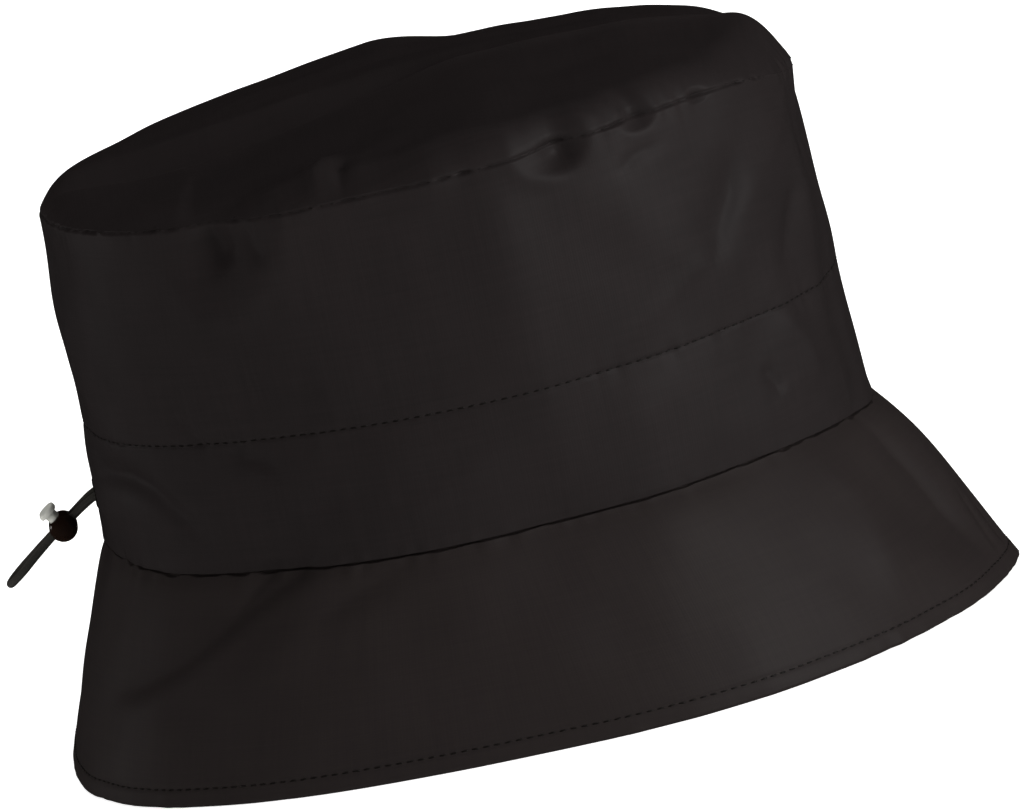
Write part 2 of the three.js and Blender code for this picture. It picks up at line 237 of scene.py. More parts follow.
def outward(angle):
    """The level outward direction of the crown at angles round the hat."""
    across = np.stack([np.cos(angle) / CROWN_HALF_LENGTH, np.sin(angle) / BRIM_SEAM["side"], 0 * angle], -1)
    return across / np.linalg.norm(across, axis=-1, keepdims=True)


print("crown at the brim seam is", 2 * CROWN_HALF_LENGTH, "mm long")

# %% [markdown]
# ## Dents, creases and wrinkles
# Worn nylon dents softly, folds sharply, and gathers beside a stitched line. A cloth simulation could give
# some folds, but not these ones in these places, so each is listed in a table and pushed into the
# surface by a formula. A dent is a soft push, inward where it is below zero. A crease follows a short path
# of points, and is steep beside its line, with a soft lip on one side. One with a depth below zero is a
# ridge. Real creases are rarely even, so a skew makes one side of the valley that many times wider. A scoop
# is a small half-round pocket under the top seam, where extra cloth is caught. Angles are in degrees: 180
# is the back and 270 the wearer's right.

# %% Fold tables
DENTS = table(
    "angle height length width lean push",
    [
        (234, 130, 19, 17, 0, 1.4),
        (235.5, 137, 9.5, 9, 0, -3.6),
        (349, 122, 26, 11, 0, -2.4),
        (345, 72, 15, 9, 0, -1.6),
        (247, 137, 8, 6, 0, 1),
        (275, 145, 5, 5, 0, -1),
        (291, 144.2, 4.6, 5, 20, -3.2),
        (305, 147.5, 3, 3.4, 30, -1.2),
        (337, 106, 22, 9, 10, -1),
        (187, 129, 12, 20, 0, -2.2),
        (358, 121, 17, 14, 0, -2.3),
        (238, 37, 18, 8, 66, 1),
        (316, 30, 28, 20, -20, 0.8),
        (0, 40, 15, 45, 0, 1.8),
        (180, 30, 22, 40, 0, -1.8),
        (204, 78, 5, 12, 0, -1),
        (60, 28, 28, 13, 12, -1.8),
        (120, 118, 26, 10, 14, -1.8),
        (48, 122, 22, 9, -12, -1.6),
        (92, 141, 9, 7, 8, -2),
    ],
)
CREASE_COLUMNS = "depth width lip ends skew path"
CREASES = table(
    CREASE_COLUMNS,
    [
        (-0.9, 6, 0, (0, 0), 1, [(226, 143), (226.5, 130), (231, 120), (237, 119), (243, 126), (248, 137)]),
        (-2.8, 18, 0, (0.3, 0), 1, [(281.5, 150), (279.5, 118), (280, 88), (281, 60)]),
        (0.7, 2.5, 0, (0, 0.3), 1, [(298, 134), (303, 138), (308, 139)]),
        (2, 5.5, 0, (1, 0), 1, [(233, 146), (235.5, 138), (238, 131)]),
        (1.3, 3.2, 0, (0.6, 0), 1, [(240.5, 143), (242, 137), (243.5, 131)]),
        (2.4, 5, 0.2, (0, 0), -2.5, [(322.5, 134), (320, 120), (316, 113), (310.5, 102)]),
        (1.8, 7, 0.2, (0, 0), 1, [(343, 116), (334, 104), (327, 93)]),
        (1.6, 5.5, 0, (0, 0.3), -3, [(231, 104), (238, 99), (245, 93), (250, 88)]),
        (0.8, 3.5, 0, (0, 1), 1, [(220, 96), (225, 87)]),
        (1.3, 3.5, 0, (0, 0), 1, [(228, 85), (240, 79)]),
        (
            1.9, 4.2, 0.1, (0.3, 0.3), 1,
            [(186, 74), (195, 77.5), (205, 78), (212, 75), (218, 68.5), (225, 59)],
        ),
        (0.8, 4, 0, (0, 0), 1, [(239, 67), (247, 69), (256, 70)]),
        (0.9, 3, 0, (0, 0), 1, [(318.5, 76), (322, 65)]),
        (-1.6, 8, 0, (0.2, 0.2), 1, [(323, 90), (329, 76), (332, 62)]),
        (
            1.6, 2.8, 0.3, (1, 0), -5,
            [(240, 53), (234, 48), (229, 43), (222, 35.5), (217, 31.5), (210, 27.5), (198, 24.5)],
        ),
        (0.9, 2.4, 0, (1, 0.6), 1, [(234, 54), (231, 49), (228, 43)]),
        (0.8, 4.5, 0.2, (0.6, 0), 1, [(257, 52), (249, 46), (240, 39)]),
        (3.8, 7, 0, (0.3, 0.1), -3.5, [(341, 51), (343, 36), (344, 20), (345, 6)]),
        (-1.8, 10, 0, (0.2, 0), 1, [(322, 52), (325, 36), (322, 20), (320, 6)]),
        (0.8, 6, 0, (0, 0.3), 1, [(252, 51), (270, 51), (290, 52), (310, 52), (328, 50)]),
        (0.7, 3.4, 0, (0, 0), 1, [(353, 26), (351, 12), (349, 3)]),
        (0.6, 3.4, 0, (0, 0), 1, [(358, 20), (356, 10), (355, 3)]),
        (1.4, 6, 0.3, (0.6, 0), 1, [(150, 50), (146, 34), (140, 14)]),
        (1, 4.5, 0.2, (0.4, 0.4), 1, [(124, 84), (128, 72), (133, 60)]),
    ],
)
CREASE_TAPER = 0.35
LIP_PLACE = {"at": 1.6, "width": 1.1}
SCOOPS = table(
    "angle half_width height depth lip",
    [(289.5, 11, 7.5, 1.5, 0.5), (304.5, 6.5, 4, 1.4, 0.1), (317, 4.8, 2.3, 1.1, 0)],
)
SCOOP_HOLLOW = 1.4
SCOOP_LIP = {"at": 1.05, "width": 0.3}
print(len(DENTS), "dents,", len(CREASES), "creases,", len(SCOOPS), "scoops")


# %% Fold formulas
def turned(angle, centre):
    """How far round the crown, in millimetres, an angle in degrees lies from another."""
    return ((angle - centre + 180) % 360 - 180) * ROUND_PER_DEGREE


def dent(row, degrees, height):
    across, rise = turned(degrees, row["angle"]), height - row["height"]
    lean = math.radians(row["lean"])
    along = rise * math.cos(lean) + across * math.sin(lean)
    beside = across * math.cos(lean) - rise * math.sin(lean)
    return row["push"] * np.exp(-((along / row["length"]) ** 2) - (beside / row["width"]) ** 2)


def nearest_on_path(x, y, path):
    """For each point: how far off a path it is, on which side (-1 to 1), and at what share of the path."""
    lengths = [math.dist(a, b) for a, b in zip(path, path[1:])]
    total, before = sum(lengths), 0.0
    distance = np.full(x.shape, np.inf)
    sign, share = np.zeros(x.shape), np.zeros(x.shape)
    for (ax, ay), (bx, by), length in zip(path, path[1:], lengths):
        ux, uy = (bx - ax) / length, (by - ay) / length
        along = np.clip((x - ax) * ux + (y - ay) * uy, 0, length)
        gap_x, gap_y = x - ax - along * ux, y - ay - along * uy
        here = np.hypot(gap_x, gap_y)
        closer = here < distance
        distance = np.where(closer, here, distance)
        sign = np.where(closer, (ux * gap_y - uy * gap_x) / np.maximum(here, 1e-9), sign)
        share = np.where(closer, (before + along) / total, share)
        before += length
    return distance, sign, share


def crease_push(row, distance, sign, share):
    """The push of a crease: a sharp valley, wider on its skew's side, and a soft lip beside it."""
    first, last = row["ends"]
    towards_skew = np.clip(math.copysign(1, row["skew"]) * sign, 0, 1)
    width = row["width"] * mix(1, abs(row["skew"]), towards_skew)
    taper = mix(first, 1, smooth(share, 0, CREASE_TAPER)) * mix(last, 1, smooth(1 - share, 0, CREASE_TAPER))
    valley = np.exp(1 - np.sqrt(1 + (2 * distance / width) ** 2))
    from_lip = (sign * distance / row["width"] - LIP_PLACE["at"]) / LIP_PLACE["width"]
    return taper * (row["lip"] * np.exp(-(from_lip ** 2)) - row["depth"] * valley)


def crease(row, degrees, height):
    start = row["path"][0][0]
    path = [(turned(angle, start), rise) for angle, rise in row["path"]]
    return crease_push(row, *nearest_on_path(turned(degrees, start), height, path))


def scoop(row, degrees, height):
    """A half-round pocket that hangs from the top seam."""
    seam = sewn_line(TOP_SEAM, np.radians(degrees))[..., 2]
    q = np.hypot(turned(degrees, row["angle"]) / row["half_width"], (seam - height) / row["height"])
    pocket = np.clip(1 - q ** 2, 0, 1) ** SCOOP_HOLLOW
    lip = np.exp(-(((q - SCOOP_LIP["at"]) / SCOOP_LIP["width"]) ** 2))
    return row["lip"] * lip - row["depth"] * pocket


def wall_folds(angle, height):
    """How far all the folds push the upright walls and the brim out."""
    degrees = np.degrees(angle)
    push = sum(dent(row, degrees, height) for row in DENTS)
    push = push + sum(crease(row, degrees, height) for row in CREASES)
    return push + sum(scoop(row, degrees, height) for row in SCOOPS)


deepest = wall_folds(np.radians(DENTS[1]["angle"]), DENTS[1]["height"])
print("the back dent pushes", round(float(deepest), 1), "mm")

# %% [markdown]
# Between the folds, cloth is never flat. Two kinds of small relief are added: broad slack waves that cross
# each other at random, and short puckers that die out a few millimetres from a stitched line. Both are
# sums of sines with whole numbers of cycles round the hat, so they close without a step, and their seeds
# are fixed, so that every run gives the same cloth.

# %% Slack and puckers
AROUND = 2 * math.pi * CROWN_HALF_LENGTH
SLACK = {"waves": 30, "shortest": 18, "longest": 80, "steepness": 0.0022}
PUCKER = {"waves": 16, "shortest": 5, "longest": 22, "reach": 3, "groups": (4, 19)}


def slack(angle, height, seed):
    """Broad plane waves in random directions, higher where they are longer."""
    rng = np.random.default_rng(seed)
    total = np.zeros(np.broadcast(angle, height).shape)
    for _ in range(SLACK["waves"]):
        length = SLACK["shortest"] * (SLACK["longest"] / SLACK["shortest"]) ** rng.random()
        heading, phase = rng.random() * math.pi, rng.random() * 2 * math.pi
        cycles = round(AROUND * math.cos(heading) / length)
        rise = 2 * math.pi * math.sin(heading) / length
        total += SLACK["steepness"] * length * np.sin(cycles * angle + rise * height + phase)
    return total


def puckers(angle, seed):
    """Uneven ripples along a stitched line, about 1 high where they are strong. They come in groups."""
    rng = np.random.default_rng(seed)
    total, strength = np.zeros(np.shape(angle)), np.zeros(np.shape(angle))
    for _ in range(PUCKER["waves"]):
        length = PUCKER["shortest"] * (PUCKER["longest"] / PUCKER["shortest"]) ** rng.random()
        total += np.sin(round(AROUND / length) * angle + rng.random() * 2 * math.pi)
        strength += np.sin(rng.integers(*PUCKER["groups"]) * angle + rng.random() * 2 * math.pi)
    return total * np.abs(strength) / PUCKER["waves"]


print("the relief is laid out", round(AROUND), "mm round")

# %% [markdown]
# ## Making a cloth wall
# Each panel is a grid of rows and columns that goes once round the hat, worked out point by point, because
# a grid gives even faces that follow the seams, and a UV map for free. The outer face carries all the
# relief. The inner face follows only the folds, one cloth thickness inside. Rows stand closer near a seam,
# where the cloth turns in sharply.

# %% Grids
COLUMNS = 720
OUTER_ROWS = 92
INNER_ROWS = 20
CROWN_CLOTH = 1.5
BRIM_CLOTH = 2.0
ANGLES = np.arange(COLUMNS) * 2 * math.pi / COLUMNS
CROWDING_STEPS = 4000


def crowded_shares(count, length, marks):
    """Shares from 0 to 1 along a length, crowded round marks given as place, reach and strength."""
    place = np.linspace(0, length, CROWDING_STEPS)
    density = 1 + sum(strength * np.exp(-(((place - at) / reach) ** 2)) for at, reach, strength in marks)
    total = np.cumsum(density)
    return np.interp(np.linspace(total[0], total[-1], count), total, place) / length


def grid_normals(rows):
    """Unit normals of a grid that closes round the hat."""
    along = np.roll(rows, -1, axis=1) - np.roll(rows, 1, axis=1)
    upwards = np.gradient(rows, axis=0)
    normal = np.cross(along, upwards)
    return normal / np.linalg.norm(normal, axis=-1, keepdims=True)


def ring_faces(rows, columns, closed):
    """The quads of a grid that closes round the hat, as corner rows and corner columns."""
    last = rows if closed else rows - 1
    i, j = np.meshgrid(np.arange(last), np.arange(columns), indexing="ij")
    i, j = i.ravel(), j.ravel()
    return np.stack([i, i, i + 1, i + 1], 1), np.stack([j, j + 1, j + 1, j], 1)


print("a column of the cloth's map is", round(AROUND / COLUMNS, 2), "mm wide")


# %% Mesh objects
def mesh_object(name, points, faces, uv, material):
    """A smooth mesh object from points in millimetres, its faces, and a UV point for each face corner."""
    mesh = bpy.data.meshes.new(name)
    mesh.from_pydata((np.asarray(points) * MM).tolist(), [], [list(face) for face in faces])
    layer = mesh.uv_layers.new(name="cloth")
    layer.data.foreach_set("uv", (np.asarray(uv) * MM).astype(np.float32).ravel())
    mesh.polygons.foreach_set("use_smooth", [True] * len(mesh.polygons))
    mesh.materials.append(material)
    made = bpy.data.objects.new(name, mesh)
    bpy.context.scene.collection.objects.link(made)
    return made


def sharpen(made, rows):
    """Marks the edges along some rows of a wall as sharp, so that its cut rim doesn't shade its face."""
    ends = np.empty(2 * len(made.data.edges), np.int32)
    made.data.edges.foreach_get("vertices", ends)
    first, second = (ends.reshape(-1, 2) // COLUMNS).T
    made.data.edges.foreach_set("use_edge_sharp", (first == second) & np.isin(first, rows))


def stand_for(made, node, body):
    """Hides a node's solid, where a finished piece stands, and puts the piece on its body."""
    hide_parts(node)
    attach(made, body)
    print(made.name, len(made.data.polygons), "faces")


def tube_wall(name, rows, material):
    """Closes a stack of rings into a wall: its rows go up the outer face and down the inner one."""
    count = len(rows)
    steps = np.linalg.norm(np.diff(rows, axis=0, append=rows[:1]), axis=-1).mean(1)
    down_cloth = np.concatenate([[0], np.cumsum(steps)])
    corner_rows, corner_columns = ring_faces(count, COLUMNS, closed=True)
    faces = (corner_rows % count) * COLUMNS + corner_columns % COLUMNS
    u = corner_columns * (AROUND / COLUMNS)
    uv = np.stack([u, down_cloth[corner_rows]], -1)
    return mesh_object(name, rows.reshape(-1, 3), faces.tolist(), uv, material)


# %% [markdown]
# ## Crown side, draw band and brim
# These three share one recipe: a wall between two sewn lines, with a little belly. What differs is how the
# cloth ends. At the top seam the side turns in under the top. At the band line two turned edges meet in a
# shallow furrow. At the brim seam the band bulges over the brim, and the brim goes up behind it in a narrow
# slot, which leaves the dark line that shows in every light. The brim ends in a hem: the edge is folded up
# inside and stitched 5 mm above the fold, and the fold is round.

# %% Wall tables
WALL_SEED = 44
EDGE_FINISH, BRIM_TOP_FINISH, BAND_FOOT_FINISH, BAND_LINE_FINISH, TOP_SEAM_FINISH = table(
    "turn_in reach pucker seed fades",
    [
        (0, 1, 0.26, 3),
        (0.5, 3, 0.1, 5),
        (-0.25, 2.5, 0.1, 5),
        (0.2, 0.6, 0.16, 9),
        (0.6, 0.5, 0.34, 13, (162, 145)),
    ],
)
FURROW_UNEVENNESS = 0.9
GROOVE = {"depth": 1.2, "height": 0.7, "spread": 0.3, "edge": 0.16, "seed": 17}
BRIM_WALL, BAND_WALL, SIDE_WALL = table(
    "lower upper belly cloth foot head",
    [
        (EDGE, BRIM_SEAM, 2.2, BRIM_CLOTH, EDGE_FINISH, BRIM_TOP_FINISH),
        (BRIM_SEAM, BAND_LINE, 0.8, CROWN_CLOTH, BAND_FOOT_FINISH, BAND_LINE_FINISH),
        (BAND_LINE, TOP_SEAM, 0.9, CROWN_CLOTH, BAND_LINE_FINISH, TOP_SEAM_FINISH),
    ],
)
WALLS = {"brim": BRIM_WALL, "draw_band": BAND_WALL, "crown_side": SIDE_WALL}
HEM = {"height": 5, "raise": 0.16, "edge": 0.5, "ditch": 0.2, "ditch_width": 0.7}
EDGE_ROLL = 1
ROLL_STEPS = 7
SEAM_ROWS = (2.2, 5)
HEM_ROWS = (1.6, 5)
GROOVE_ROWS = (0.6, 14)
print("walls between sewn lines:", *WALLS)


# %% Wall faces
def seam_push(finish, angle, distance):
    """How a seam draws cloth in: a furrow of uneven depth, and puckers that die out away from it."""
    uneven = np.clip(1 + FURROW_UNEVENNESS * puckers(angle, finish["seed"] + 1), 0, 2)
    furrow = finish["turn_in"] * uneven * np.exp(-((distance / finish["reach"]) ** 2))
    if "fades" in finish:
        furrow = furrow * smooth(np.abs(np.degrees(angle) - 180), *finish["fades"])
    return finish["pucker"] * puckers(angle, finish["seed"]) * np.exp(-distance / PUCKER["reach"]) - furrow


def groove(angle, distance):
    """The narrow dark slot under the band's edge, where the brim goes up behind it."""
    height = GROOVE["height"] + GROOVE["spread"] * puckers(angle, GROOVE["seed"])
    return GROOVE["depth"] * (1 - smooth(distance, height, height + GROOVE["edge"]))


def wall_point(wall, angle, share, fine=True):
    """A point of a wall at an angle and a share of the way up."""
    row = WALLS[wall]
    low, high = sewn_line(row["lower"], angle), sewn_line(row["upper"], angle)
    point = low + (high - low) * share[..., None]
    drop = np.linalg.norm(high - low, axis=-1)
    from_foot, from_head = share * drop, (1 - share) * drop
    push = row["belly"] * np.sin(math.pi * share) + wall_folds(angle, point[..., 2])
    push += slack(angle, point[..., 2], WALL_SEED)
    if fine:
        push += seam_push(row["foot"], angle, from_foot) + seam_push(row["head"], angle, from_head)
    if wall == "brim" and fine:
        push -= groove(angle, from_head)
        past_hem = from_foot - HEM["height"]
        push += HEM["raise"] * (1 - smooth(past_hem, -HEM["edge"], HEM["edge"]))
        push -= HEM["ditch"] * np.exp(-((past_hem / HEM["ditch_width"]) ** 2))
    return point + outward(angle) * push[..., None]


def wall_rows(wall, count, fine):
    """The rows of a wall's face, from its foot to its head."""
    row = WALLS[wall]
    length = row["upper"]["height"] - row["lower"]["height"]
    marks = [(0, *SEAM_ROWS), (length, *SEAM_ROWS)]
    if wall == "brim":
        marks += [(HEM["height"], *HEM_ROWS), (length - GROOVE["height"], *GROOVE_ROWS)]
    shares = crowded_shares(count, length, marks)
    if wall == "brim":
        shares = mix(EDGE_ROLL / length, 1, shares)
    angle, share = np.meshgrid(ANGLES, shares)
    return wall_point(wall, angle, share, fine)


def inner_rows(wall, outer):
    """The inner face, one cloth thickness in, from the top down, with its end rows level with the outer."""
    rows = wall_rows(wall, INNER_ROWS, fine=False)
    rows[0], rows[-1] = outer[0], outer[-1]
    normals = grid_normals(rows)
    normals[[0, -1]] = outward(ANGLES)
    return (rows - WALLS[wall]["cloth"] * normals)[::-1]


def rolled_edge(inner, outer):
    """The round fold at the brim's edge, from its inner face under to its outer face."""
    middle, half = (inner + outer) / 2, (outer - inner) / 2
    turns = np.linspace(-math.pi / 2, math.pi / 2, ROLL_STEPS + 2)[1:-1]
    rows = [middle + half * math.sin(t) - [0, 0, EDGE_ROLL * math.cos(t)] for t in turns]
    return np.array(rows)


print("the brim's front edge is at", wall_point("brim", np.zeros(1), np.zeros(1)).round(1)[0])


# %% Three walls
def make_wall(wall):
    outer = wall_rows(wall, OUTER_ROWS, fine=True)
    inner = inner_rows(wall, outer)
    rows = [outer, inner]
    if wall == "brim":
        rows.append(rolled_edge(inner[-1], outer[0]))
    # The brim's lighter finish is painted light for its upward slope.
    cloth = backed_nylon_painted_lighter if wall == "brim" else nylon
    made = tube_wall("cloth_" + wall, np.concatenate(rows), cloth)
    foot_rim = [] if wall == "brim" else [0, len(outer) + len(inner) - 1]
    sharpen(made, [len(outer) - 1, len(outer)] + foot_rim)
    stand_for(made, wall, "hat")
    return made


make_wall("brim")
make_wall("crown_side")
draw_band = make_wall("draw_band")

# %% [markdown]
# ## The top
# The top is an oval of cloth that puffs up past its seam and rolls over before it dips under the stitches.
# Folding the hat flat has pressed a crease into it from front to back. Behind the middle the crease is a
# step: the near half lies lower, and a short steep riser climbs to the far half. In front it is a low
# ridge. A shallow hollow opens from the crease to the back of the near side, and the roll at the seam is
# uneven, so it has a table of its own, with a few small puffs. Rings from the seam to the middle suit the
# top, because they can crowd together where the roll is tight.

# %% Top tables
TOP_RIDGE_X = [-104, -80, -50, -35, -14, 10, 55, 77, 96]
TOP_RIDGE_HEIGHT = [148.4, 149.7, 153, 154.9, 157.6, 160.4, 158.6, 155.1, 153.6]
TOP_SLOPE = {"length": 70, "power": 1.5, "near": 4.5, "far_back": 3.7, "far_front": 9.2}
FAR_SLOPE_CHANGE = (-12, 12)
CREASE_X = [-100, -80, -60, -30, -5, 20, 60, 96]
CREASE_DEPTH = [2.2, 4.6, 6.2, 5.6, 3.2, 1, 0.2, 0]
CREASE_RIDGE = [0, 0, 0, 0.3, 1, 1.2, 1.2, 0.6]
RISER = {"width": 12, "power": 1.3, "ridge": 2.6}
TOP_DENTS = table("x y length width push", [(-14, -70, 9, 10, -1), (86, 22, 12, 18, -2.2)])
TOP_HOLLOW = {"apex": (-61, 1), "foot": (-68, -56), "drop": 2.2, "step": 6, "least_step": 2.5}
HOLLOW_MOST_OPEN = 1.4
HOLLOW_END = (13, 31)
TOP_CREASES = table(
    CREASE_COLUMNS,
    [
        (-2.2, 5, 0, (0.8, 0), 1, [(-33, -80), (-31, -68), (-26, -50)]),
        (1.7, 2.6, 0, (0.8, 0), 1, [(-26, -80), (-24.5, -70), (-23.5, -60)]),
        (0.5, 7, 0.3, (0, 0), 1, [(-60, 24), (-10, 28), (50, 18)]),
    ],
)
TOP_ROLL_SHARE = 0.14
ROLL_ANGLES = [180, 200, 220, 240, 256, 266, 274, 284, 294, 312, 326, 340, 360, 380, 400, 500, 540]
ROLL_POWER = [3.6, 2.2, 1.8, 1.5, 1.8, 1.8, 2.3, 3.6, 4, 3.8, 3.2, 2.5, 2.4, 2.2, 2.1, 2.2, 3.6]
ROLL_PUFFS = table(
    "angle width power",
    [(282, 4, 0.8), (289.5, 3, 1.4), (299, 3.5, 1.1), (308, 3, 0.8), (315.5, 2.6, 0.8), (323, 3, 0.6)],
)
WALL_FOLDS_ON_TOP = {"from": 0.7, "rise": 2}
TOP_SLACK = 0.7
TOP_SEED = 53
TOP_LEAST_RISE = 1.4
TOP_RINGS = 92
TOP_RING_CROWDING = 1.7
TOP_RING_REACH = 0.985
print(len(TOP_DENTS), "dents and", len(TOP_CREASES), "creases on the top")


# %% Top surface
def eased(x, places, values, reach=5):
    """A value read from a table, with its corners rounded over a reach."""
    return sum(np.interp(x + step * reach, places, values) for step in (-1, -0.5, 0, 0.5, 1)) / 5


def top_hollow(x, y):
    """A pressed hollow that opens from a point on the crease to the seam, with a steep side to the back."""
    (ax, ay), (bx, by) = TOP_HOLLOW["apex"], TOP_HOLLOW["foot"]
    opened = np.clip((y - ay) / (by - ay), 0, HOLLOW_MOST_OPEN)
    beside = x - mix(ax, bx, opened)
    step = np.maximum(TOP_HOLLOW["step"] * opened, TOP_HOLLOW["least_step"])
    return TOP_HOLLOW["drop"] * opened * smooth(beside / step, 0, 1) * (1 - smooth(beside, *HOLLOW_END))


def top_height(x, y):
    """The height of the top's upper face inside its rolled edge."""
    ridge = eased(x, TOP_RIDGE_X, TOP_RIDGE_HEIGHT)
    depth = eased(x, CREASE_X, CREASE_DEPTH)
    pressed = eased(x, CREASE_X, CREASE_RIDGE)
    spread = (np.abs(y) / TOP_SLOPE["length"]) ** TOP_SLOPE["power"]
    near = depth + (TOP_SLOPE["near"] - depth) * spread
    far = mix(TOP_SLOPE["far_back"], TOP_SLOPE["far_front"], smooth(x, *FAR_SLOPE_CHANGE)) * spread
    far = far + depth * (1 - np.clip(y / RISER["width"], 0, 1)) ** RISER["power"]
    return ridge - np.where(y < 0, near, far) - pressed * (1 - np.exp(-np.abs(y) / RISER["ridge"]))


def top_point(angle, share, fine=True):
    """A point of the top at an angle and a share of the way from its middle to the seam."""
    rim = sewn_line(TOP_SEAM, angle)
    middle = (TOP_SEAM["front"] + TOP_SEAM["back"]) / 2
    x, y = mix(middle, rim[..., 0], share), rim[..., 1] * share
    degrees = (np.degrees(angle) - 180) % 360 + 180
    power = eased(degrees, ROLL_ANGLES, ROLL_POWER, reach=4)
    for row in ROLL_PUFFS:
        power = power + row["power"] * np.exp(-(((degrees - row["angle"]) / row["width"]) ** 2))
    rise = 1 - (1 - np.minimum((1 - share) / TOP_ROLL_SHARE, 1)) ** power
    height = top_height(x, y) - top_hollow(x, y)
    for row in TOP_DENTS:
        reach = ((x - row["x"]) / row["length"]) ** 2 + ((y - row["y"]) / row["width"]) ** 2
        height = height + row["push"] * np.exp(-reach)
    for row in TOP_CREASES:
        height = height + crease_push(row, *nearest_on_path(x, y, row["path"]))
    height = height + TOP_SLACK * slack(x / CROWN_HALF_LENGTH, y, TOP_SEED)
    height = np.maximum(height, rim[..., 2] + TOP_LEAST_RISE)
    z = mix(rim[..., 2], height, rise)
    low_z = np.minimum(z, rim[..., 2] + WALL_FOLDS_ON_TOP["rise"])
    push = wall_folds(angle, low_z) + slack(angle, low_z, WALL_SEED)
    push = push * smooth(share, WALL_FOLDS_ON_TOP["from"], 1)
    if fine:
        from_seam = np.hypot((1 - share) * TOP_SEAM["side"], z - rim[..., 2])
        push = push + seam_push(TOP_SEAM_FINISH, angle, from_seam)
    return np.stack([x, y, z], -1) + outward(angle) * push[..., None]


def top_rings(count, fine):
    """Rings from the seam to near the middle, closer together towards the seam."""
    shares = 1 - TOP_RING_REACH * np.linspace(0, 1, count) ** TOP_RING_CROWDING
    angle, share = np.meshgrid(ANGLES, shares)
    return top_point(angle, share, fine)


print("the middle of the top is", round(float(top_height(0, 0)), 1), "mm up")


# %% Top piece
def make_top():
    outer = top_rings(TOP_RINGS, fine=True)
    flat = top_rings(TOP_RINGS // 3, fine=False)
    flat[0] = outer[0]
    normals = grid_normals(flat)
    normals[0] = outward(ANGLES)
    inner = flat - CROWN_CLOTH * normals
    inner[..., 2] = np.maximum(inner[..., 2], outer[0, :, 2])
    rows = np.concatenate([inner[::-1], outer])
    corner_rows, corner_columns = ring_faces(len(rows), COLUMNS, closed=False)
    faces = (corner_rows * COLUMNS + corner_columns % COLUMNS).tolist()
    points = rows.reshape(-1, 3)
    under, over = rows[0].mean(0), rows[-1].mean(0)
    first, last = len(points), (len(rows) - 1) * COLUMNS
    for j in range(COLUMNS):
        after = (j + 1) % COLUMNS
        faces.append([after, j, first])
        faces.append([last + j, last + after, first + 1])
    points = np.concatenate([points, [under, over]])
    uv = np.concatenate([points[face][:, :2] for face in faces])
    made = mesh_object("cloth_crown_top", points, faces, uv, nylon)
    sharpen(made, [len(inner) - 1, len(inner)])
    stand_for(made, "crown_top", "hat")


make_top()

# %% [markdown]
# ## Stitching
# A lockstitch shows on the outside as a row of short raised dashes of thread, each pulled into the cloth at
# its ends. One stitch is a bent capsule. It is made once as points and then set down along each sewn line
# at the real stitch length, turned to the line and to the cloth's surface. The thread is black polyester,
# twisted and a little glossier than the cloth. Its fibres are about 0.02 mm thick, and are drawn at about
# 1 mm, because finer ones wouldn't show.

# %% Thread
def make_yarn(name, dark, light, roughness, specular, relief, noise, uv_map=None):
    """A yarn whose fibres are noise, placed by a UV map or else by the object."""
    made, tree, shader = new_material(name)
    if uv_map:
        place = add_node(tree, "ShaderNodeUVMap", uv_map=uv_map).outputs[0]
    else:
        place = add_node(tree, "ShaderNodeTexCoord").outputs["Object"]
    fibre = add_node(tree, "ShaderNodeTexNoise", {"Vector": place, **noise}).outputs[0]
    colours = {0: fibre, 6: srgb(dark), 7: srgb(light)}
    colour = add_node(tree, "ShaderNodeMix", colours, data_type="RGBA")
    bump = add_node(tree, "ShaderNodeBump", {"Strength": 0.5, "Distance": relief * MM, "Height": fibre})
    tree.links.new(colour.outputs[2], shader.inputs["Base Color"])
    tree.links.new(bump.outputs[0], shader.inputs["Normal"])
    shader.inputs["Roughness"].default_value = roughness
    shader.inputs["Specular IOR Level"].default_value = specular
    print("made", made.name)
    return made


fibres = {"Scale": 900, "Detail": 1}
thread = make_yarn("polyester_thread", "#0a0908", "#13100e", 0.5, 0.1, 0.05, fibres)

# %% One stitch
STITCH_LENGTH = 1.9
STITCH_ARCH = 0.24
STITCH_SIDES = 8
STITCH_STEPS = 7
THREAD_RADIUS = 0.2
END_ROUNDNESS = 0.4


def stitch_shape():
    """One stitch along X with its arch along Z, as rings of points from end to end."""
    t = np.linspace(0, math.pi, STITCH_STEPS)
    x = -np.cos(t) * STITCH_LENGTH / 2
    radius = THREAD_RADIUS * np.sin(t) ** END_ROUNDNESS
    lift = STITCH_ARCH * (np.sin(t) - 0.5)
    around = np.arange(STITCH_SIDES) * 2 * math.pi / STITCH_SIDES
    y = radius[:, None] * np.cos(around)
    z = lift[:, None] + radius[:, None] * np.sin(around)
    return np.stack([np.repeat(x[:, None], STITCH_SIDES, 1), y, z], -1)


def stitch_faces():
    rings, sides = STITCH_STEPS, STITCH_SIDES
    corner_rows, corner_columns = ring_faces(rings, sides, closed=False)
    quads = (corner_rows * sides + corner_columns % sides)[:, ::-1].tolist()
    first, last = list(range(sides)), list(range((rings - 1) * sides, rings * sides))[::-1]
    return quads + [first, last]


print("a stitch has", STITCH_SIDES * STITCH_STEPS, "points")

# %% Rows of stitches
STITCH_PITCH = 2.8
STITCH_SWAY = 0.05
FROM_SEAM = 0.1
LOOK_AHEAD = 0.5
NORMAL_PROBE = 0.4


